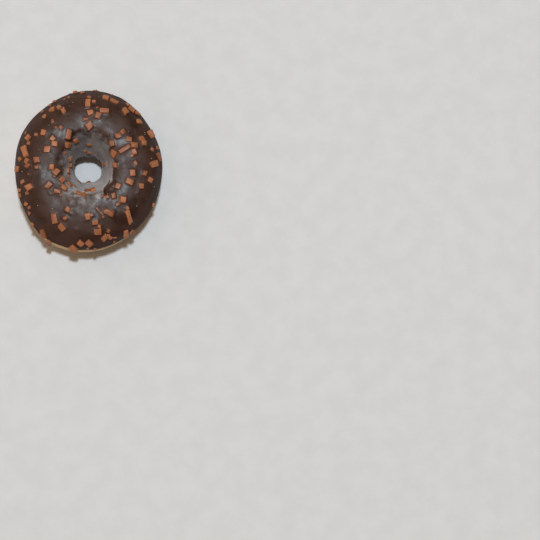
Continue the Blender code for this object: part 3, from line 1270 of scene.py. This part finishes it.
@dataclass
class IcingCoat:
    """The dipped coat: a thin skin with a rounded rim, soft lumps, folds, and a swell round each nugget.

    Each drip is a turn, a length and a width, and each place of the painted reflection's edge is a turn and
    the rolls where it starts and is full, all in degrees. Lumps are pairs of size and height.
    """

    form: RingForm
    coat: CoatForm
    nuggets: list[Nugget]
    finish: IcingFinish
    turns: int = 540
    rolls: int = 160
    outer_face: int = 136
    crowding: float = 0.25
    nose: float = 0.8 * MM
    bead: float = 0.22 * MM
    bead_from_edge: float = 1.1 * MM
    bead_width: float = 0.8 * MM
    section_radius: float = 16 * MM
    relief_fades: Range = (0.0, 1.5 * MM)
    lumps_fade: Range = (0.3 * MM, 3.0 * MM)
    lumps: Lumps = ((13 * MM, 1.0 * MM), (4.5 * MM, 0.26 * MM))
    drips: tuple[tuple[float, float, float], ...] = (
        (14, 5.0, 3.5), (52, 6.5, 3.0), (97, 4.0, 2.6), (128, 7.0, 3.4), (171, 5.0, 2.5),
        (205, 5.0, 3.0), (233, 3.5, 2.2), (331, 4.5, 2.8),
    )
    outer_ripples: Waves = ((13, 0.7, 0.3), (21, 0.5, 1.9), (34, 0.35, 4.0))
    inner_ripples: Waves = ((11, 1.6, 2.2), (19, 1.2, 0.7), (31, 0.9, 3.0))
    swell_height: float = 0.32 * MM
    swell_reach: float = 0.5 * MM
    swell_limit: float = 6 * MM
    creases: tuple[Crease, ...] = (
        Crease(((301, 102), (303, 108), (310, 112), (319, 111), (327, 107)), 0.7 * MM, 0.45 * MM),
        Crease(((307, 124), (315, 121), (323, 120)), 0.55 * MM, 0.4 * MM),
        Crease(((304, 121), (303, 111)), 0.5 * MM, 0.4 * MM),
        Crease(((240, 92), (247, 87), (254, 81)), 0.8 * MM, 0.12 * MM),
    )
    dimples: tuple[Dimple, ...] = (
        Dimple(312, 102, 2.6 * MM, 0.55 * MM),
        Dimple(229, 88, 2.4 * MM, 0.35 * MM),
        Dimple(169, 95, 4.5 * MM, -0.25 * MM),
        Dimple(260, 84, 5.0 * MM, -0.25 * MM),
        Dimple(65, 94, 4.0 * MM, -0.25 * MM),
        Dimple(353, 95, 4.5 * MM, -0.22 * MM),
        Dimple(205, 92, 4.0 * MM, 0.3 * MM),
        Dimple(300, 92, 4.5 * MM, 0.3 * MM),
    )
    wrinkled_spot: Spot = Spot(114, 80, 3.6 * MM)
    # A spot and the creases are left without the painted reflection, so they show as painted shade.
    unsheened_spot: Spot = Spot(311, 101.5, 4.0 * MM)
    unsheened_sharpness: int = 8
    crease_shade_breadth: float = 1.9
    # Where the painted reflection on the hole's wall starts and is full round the ring, and how deep it is;
    # it is deepest on the side of the wall that faces the light.
    painted_sheen_edge: tuple[tuple[int, int, int], ...] = (
        (0, 117, 130), (45, 97, 142), (90, 90, 150), (130, 104, 150), (160, 101, 140), (180, 104, 136),
        (215, 94, 142), (250, 80, 140), (284, 80, 134), (298, 92, 122), (312, 102, 115), (330, 107, 116),
        (345, 113, 122),
    )
    painted_sheen_depth: float = 0.63
    painted_sheen_lean: float = 0.27
    painted_sheen_brightest_at: int = 282
    painted_sheen_limits: Range = (-1, 2)
    dulling: Range = (50, 14)

    def build(self) -> bpy.types.Object:
        """Builds the coat from a torus.

        Returns:
            The coat.
        """
        coat, turn, round_section = RingShaper.torus("icing_coat", self.form, self.turns, self.rolls)
        roll, lift, outside = self._section(turn, round_section)
        laid = self.form.raised(turn, roll, lift)
        out = self.form.directions(turn, roll)[2]
        relief = self._folds(laid) + self._swells(laid)
        from_edge = self._from_edge(turn, roll)
        free = smooth_step(*self.relief_fades, from_edge)
        Bench.move_to(coat, laid + out * (relief * outside * free)[:, None])
        Bench.group(coat, "outer face", smooth_step(*self.lumps_fade, from_edge) * outside)
        for grain, height in self.lumps:
            Bench.roughen(coat, grain, height, "outer face")
        self._mark(coat, turn, roll, laid)
        Bench.hold(coat)
        bpy.ops.object.shade_smooth()
        coat.data.materials.append(self.finish.material())
        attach(coat, "root")
        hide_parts("icing")
        return coat

    def _edges(self, turn: np.ndarray) -> tuple[np.ndarray, np.ndarray]:
        """Finds where this coat ends, with its drips and small waves.

        Args:
            turn: Turns in radians.

        Returns:
            Rolls, in radians, of its outer edge and of its edge in the hole.
        """
        outer, inner = self.coat.edges(turn)
        outer = outer + np.radians(ripple(turn, self.outer_ripples))
        inner = inner + np.radians(ripple(turn, self.inner_ripples))
        for at, length, width in self.drips:
            drip = np.exp(-((turn_gap(turn, at) / math.radians(width)) ** 2))
            outer = outer - math.radians(length) * drip
        return outer, inner

    def _from_edge(self, turn: np.ndarray, roll: np.ndarray) -> np.ndarray:
        """Returns how far, in metres, each place is from the nearer edge."""
        outer, inner = self._edges(turn)
        return np.minimum(roll - outer, inner - roll) * self.section_radius

    def _section(
        self, turn: np.ndarray, round_section: np.ndarray
    ) -> tuple[np.ndarray, np.ndarray, np.ndarray]:
        """Lays the coat's section over the dough: the outer face, then the inner one back.

        Args:
            turn: Turn of each vertex.
            round_section: Place of each vertex round the section, in radians.

        Returns:
            Roll and height above the dough of each vertex, and 1 where it is on the outer face.
        """
        step = np.round(round_section / math.tau * self.rolls) % self.rolls
        outside = step <= self.outer_face
        share = np.where(
            outside, step / self.outer_face, 1 - (step - self.outer_face) / (self.rolls - self.outer_face)
        )
        share = (1 - self.crowding) * share + self.crowding * (1 - np.cos(math.pi * share)) / 2
        outer, inner = self._edges(turn)
        roll = outer + share * (inner - outer)
        from_edge = self._from_edge(turn, roll)
        nose = np.sqrt(np.clip(1 - (1 - np.clip(from_edge / self.nose, 0, 1)) ** 2, 0, 1))
        bead = self.bead * np.exp(-(((from_edge - self.bead_from_edge) / self.bead_width) ** 2))
        thickness = self.coat.thickness_at(turn, roll) + bead
        lift = self.coat.gap + np.where(outside, thickness * nose, 0.0)
        return roll, lift, outside.astype(float)

    def _swells(self, points: np.ndarray) -> np.ndarray:
        """Finds how far the icing climbs the sides of the nuggets.

        Args:
            points: Points on the coat.

        Returns:
            Height added at each point.
        """
        height = np.zeros(len(points))
        for nugget in self.nuggets:
            offset = points - nugget.middle
            near = np.flatnonzero(np.einsum("ij,ij->i", offset, offset) < self.swell_limit**2)
            lengthwise = np.abs(offset[near] @ nugget.lengthwise) - nugget.length / 2
            crosswise = np.abs(offset[near] @ nugget.crosswise) - nugget.width / 2
            distance = np.hypot(np.maximum(lengthwise, 0), np.maximum(crosswise, 0))
            rise = self.swell_height * np.exp(-distance / self.swell_reach)
            height[near] = np.maximum(height[near], rise)
        return height

    def _folds(self, points: np.ndarray) -> np.ndarray:
        """Finds the depth of folds, dimples and lumps.

        Args:
            points: Points on the coat.

        Returns:
            Height added at each point, below 0 in a hollow.
        """
        height = np.zeros(len(points))
        for crease in self.creases:
            height -= crease.depth * self._along(crease, points)
        for dimple in self.dimples:
            height -= dimple.depth * self._within(dimple, points)
        return height

    def _along(self, crease: Crease, points: np.ndarray) -> np.ndarray:
        """Finds how deep in a crease each point is.

        Args:
            crease: The crease.
            points: Points on the coat.

        Returns:
            Shares from 0, away from it, to 1 on its line.
        """
        line = np.array([self._at(*place) for place in crease.line])
        distance = np.full(len(points), 1.0)
        for start, end in zip(line[:-1], line[1:]):
            stretch = end - start
            share = np.clip((points - start) @ stretch / (stretch @ stretch), 0, 1)
            gap = np.linalg.norm(points - start - share[:, None] * stretch, axis=1)
            distance = np.minimum(distance, gap)
        return np.exp(-((distance / crease.width) ** 2))

    def _within(self, spot: Spot, points: np.ndarray, sharpness: int = 2) -> np.ndarray:
        """Finds how far inside a spot each point is.

        Args:
            spot: The spot.
            points: Points on the coat.
            sharpness: How suddenly the spot ends, an even number.

        Returns:
            Shares from 0, away from it, to 1 in its middle.
        """
        distance = np.linalg.norm(points - self._at(spot.turn, spot.roll), axis=1)
        return np.exp(-((distance / spot.radius) ** sharpness))

    def _at(self, turn: float, roll: float) -> np.ndarray:
        """Returns the point on the coat at a turn and roll in degrees."""
        turn, roll = np.radians(np.float64(turn)), np.radians(np.float64(roll))
        return self.form.raised(turn, roll, np.float64(self.coat.gap + self.coat.thickness))

    def _mark(
        self, coat: bpy.types.Object, turn: np.ndarray, roll: np.ndarray, points: np.ndarray
    ) -> None:
        """Marks where the icing carries the painted reflection, where it thins out to its outer edge and
        where it is wrinkled.

        Args:
            coat: The coat.
            turn: Turn of each vertex.
            roll: Roll of each vertex.
            points: Vertices as the coat was laid, before its relief.
        """
        at, start, full = np.array(self.painted_sheen_edge, dtype=float).T
        start = np.interp(np.degrees(turn), at, start, period=360)
        full = np.interp(np.degrees(turn), at, full, period=360)
        least, most = self.painted_sheen_limits
        # Share of the painted reflection, left off in one spot to leave a painted shade there.
        painted_sheen = np.clip((np.degrees(roll) - start) / (full - start), least, most)
        painted_sheen = painted_sheen - (most - least) * self._within(self.unsheened_spot, points, self.unsheened_sharpness)
        # The painted reflection is strongest on the side of the wall that faces the light.
        depth = self.painted_sheen_depth + self.painted_sheen_lean * np.cos(turn - math.radians(self.painted_sheen_brightest_at))
        # Along the creases the painted reflection is left off, so they show as painted shade.
        for crease in self.creases:
            depth = depth * np.clip(1 - self.crease_shade_breadth * self._along(crease, points), 0, 1)
        Bench.mark(coat, "painted_sheen", painted_sheen)
        Bench.mark(coat, "painted sheen depth", depth)
        Bench.mark(coat, "near edge", smooth_step(*self.dulling, np.degrees(roll)))
        Bench.mark(coat, "wrinkled", self._within(self.wrinkled_spot, points))


@dataclass
class SugarSpecks:
    """A few pale specks that have stuck to the icing."""

    form: RingForm
    coat: CoatForm
    finish: DoughFinish = DoughFinish(
        name="pale crumb", golden=(0.62, 0.50, 0.38), browned_and_shaded=(0.50, 0.38, 0.27)
    )
    size: float = 0.55 * MM
    size_shares: Range = (0.6, 1.15)
    stretch: Range = (0.7, 1.3)
    clear_of_icing: float = 0.1 * MM
    lump_size: float = 0.4 * MM
    unevenness: float = 0.15 * MM
    seed: int = 8
    placed: tuple[tuple[float, float], ...] = (
        (134, 69), (107, 57), (103, 53), (185, 42), (319, 53), (343, 36),
        (82, 44), (41, 75), (66, 178), (94, 139), (219, 54),
    )
    strays: int = 10
    stray_rolls: Range = (20, 130)

    def build(self) -> bpy.types.Object:
        """Adds each speck as a small uneven ball and joins them.

        Returns:
            The specks.
        """
        draw = random.Random(self.seed)
        places = list(self.placed)
        places += [(draw.uniform(0, 360), draw.uniform(*self.stray_rolls)) for _ in range(self.strays)]
        lift = np.float64(self.coat.gap + self.coat.thickness + self.clear_of_icing)
        Bench.clear()
        specks = []
        for place in places:
            point = self.form.raised(*np.radians(place), lift)
            radius = self.size / 2 * draw.uniform(*self.size_shares)
            bpy.ops.mesh.primitive_ico_sphere_add(subdivisions=2, radius=radius, location=point)
            speck = bpy.context.active_object
            speck.scale = [draw.uniform(*self.stretch) for _ in range(3)]
            specks.append(speck)
        whole = Bench.join(specks, "pale_specks")
        Bench.roughen(whole, self.lump_size, self.unevenness)
        Bench.hold(whole)
        bpy.ops.object.shade_smooth()
        whole.data.materials.append(self.finish.material())
        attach(whole, "root")
        return whole


@dataclass(frozen=True)
class Studio:
    """A pale sheet to stand on, soft light from overhead and a camera at the photograph's angle."""

    floor_size: float = 6.0
    middle: Direction = (-0.4 * MM, 1.14 * MM, 16.5 * MM)
    tilt: float = math.radians(12)
    distance: float = 0.7155
    lens: float = 80.0
    sensor: float = 36.0
    subject_pixel: tuple[float, float] = (88.6, 170.5)
    frame_pixels: int = 540
    key_energy: float = 64.0
    key_size: float = 0.27
    key_distance: float = 3.0
    key_tilt: float = math.radians(5.5)
    key_colour: Colour = (0.83, 0.925, 1.0)
    fill: Colour = (1.0, 0.74, 0.51)
    fill_overhead: float = 0.42
    fill_at_horizon: float = 0.21
    fill_lean: Direction = (-0.95, 0.25, 0.0)
    backdrop: Colour = (0.60, 0.60, 0.59)

    def build(self) -> None:
        """Sets up the floor, the lights, the surroundings and the camera."""
        self._floor()
        self._key_light()
        self._surroundings()
        self._camera()
        bpy.context.scene.view_settings.view_transform = "Standard"

    def _floor(self) -> None:
        """Lays a large pale sheet under the doughnut."""
        Bench.clear()
        bpy.ops.mesh.primitive_plane_add(size=self.floor_size)
        floor = Bench.name("floor")
        floor.data.materials.append(PaperFinish().material())

    def _key_light(self) -> None:
        """Hangs a small soft box overhead, tilted so that shadows fall towards the viewer."""
        lamp = bpy.data.lights.new("soft box", "AREA")
        lamp.shape = "DISK"
        lamp.size = self.key_size
        lamp.energy = self.key_energy
        lamp.color = self.key_colour
        holder = bpy.data.objects.new("soft box", lamp)
        bpy.context.scene.collection.objects.link(holder)
        reach = Vector((0, math.sin(self.key_tilt), math.cos(self.key_tilt))) * self.key_distance
        holder.location = Vector(self.middle) + reach
        holder.rotation_euler = (-self.key_tilt, 0, 0)

    def _surroundings(self) -> None:
        """Fills the shadows with a warm light, strongest overhead and to the left, before a pale backdrop."""
        world = bpy.data.worlds.new("surroundings")
        world.use_nodes = True
        recipe = Recipe(world.node_tree)
        ceiling = world.node_tree.nodes["Background"]
        ceiling.inputs["Color"].default_value = (*self.fill, 1.0)
        direction = recipe.add("ShaderNodeTexCoord").outputs["Generated"]
        height = recipe.add("ShaderNodeSeparateXYZ", {"Vector": direction}).outputs["Z"]
        ends = {"Value": height, "To Min": self.fill_at_horizon, "To Max": self.fill_overhead}
        strength = recipe.add("ShaderNodeMapRange", ends).outputs["Result"]
        sides = {0: direction, 1: self.fill_lean}
        lean = recipe.add("ShaderNodeVectorMath", sides, operation="DOT_PRODUCT").outputs["Value"]
        recipe.feed(ceiling, Strength=recipe.maths("MULTIPLY", strength, recipe.maths("ADD", lean, 1.0)))
        backdrop = recipe.add("ShaderNodeBackground", {"Color": (*self.backdrop, 1.0)})
        seen = recipe.add("ShaderNodeLightPath").outputs["Is Camera Ray"]
        lights = {0: seen, 1: ceiling.outputs[0], 2: backdrop.outputs[0]}
        shown = recipe.add("ShaderNodeMixShader", lights).outputs[0]
        recipe.feed(world.node_tree.nodes["World Output"], Surface=shown)
        bpy.context.scene.world = world

    def _camera(self) -> None:
        """Places the camera, turned so that the doughnut stands where it does in the photograph."""
        data = bpy.data.cameras.new("camera")
        data.lens = self.lens
        data.sensor_width = self.sensor
        holder = bpy.data.objects.new("camera", data)
        bpy.context.scene.collection.objects.link(holder)
        toward = Vector((0, -math.sin(self.tilt), math.cos(self.tilt)))
        holder.location = Vector(self.middle) + toward * self.distance
        half = self.frame_pixels / 2
        slope = self.sensor / self.lens / self.frame_pixels
        aside = (self.subject_pixel[0] - half) * slope
        upward = (half - self.subject_pixel[1]) * slope
        sight = Vector((aside, upward, -1)).normalized()
        straight = (-toward).to_track_quat("-Z", "Y")
        holder.rotation_mode = "QUATERNION"
        holder.rotation_quaternion = straight @ sight.rotation_difference(Vector((0, 0, -1)))
        bpy.context.scene.camera = holder


def report(piece: bpy.types.Object) -> None:
    """Logs a piece's size and how many triangles it has.

    Args:
        piece: The piece.
    """
    piece.data.calc_loop_triangles()
    size = ", ".join(f"{side / MM:.1f}" for side in piece.dimensions)
    log.info("%s: %s mm, %d triangles", piece.name, size, len(piece.data.loop_triangles))


def main() -> None:
    """Builds the doughnut's pieces in order, then the studio."""
    logging.basicConfig(level=logging.INFO, format="%(message)s")
    form, coat = RingForm(), CoatForm()
    scatter = NuggetScatter(form, coat)
    nuggets = scatter.all()
    chips = ChipScatter(scatter).all()
    caramel = CaramelFinish()
    report(DoughRing(form, DoughFinish()).build())
    report(IcingCoat(form, coat, nuggets + chips, IcingFinish()).build())
    large = Topping("caramel_nuggets", nuggets, caramel, worn=0.42 * MM, cuts=1, unevenness=0.60 * MM)
    small = Topping("caramel_chips", chips, caramel, worn=0.12 * MM, cuts=0, unevenness=0.2 * MM)
    big = large.build()
    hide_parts("icing")
    report(big)
    report(small.build())
    report(SugarSpecks(form, coat).build())
    Studio().build()


if __name__ == "__main__":
    main()
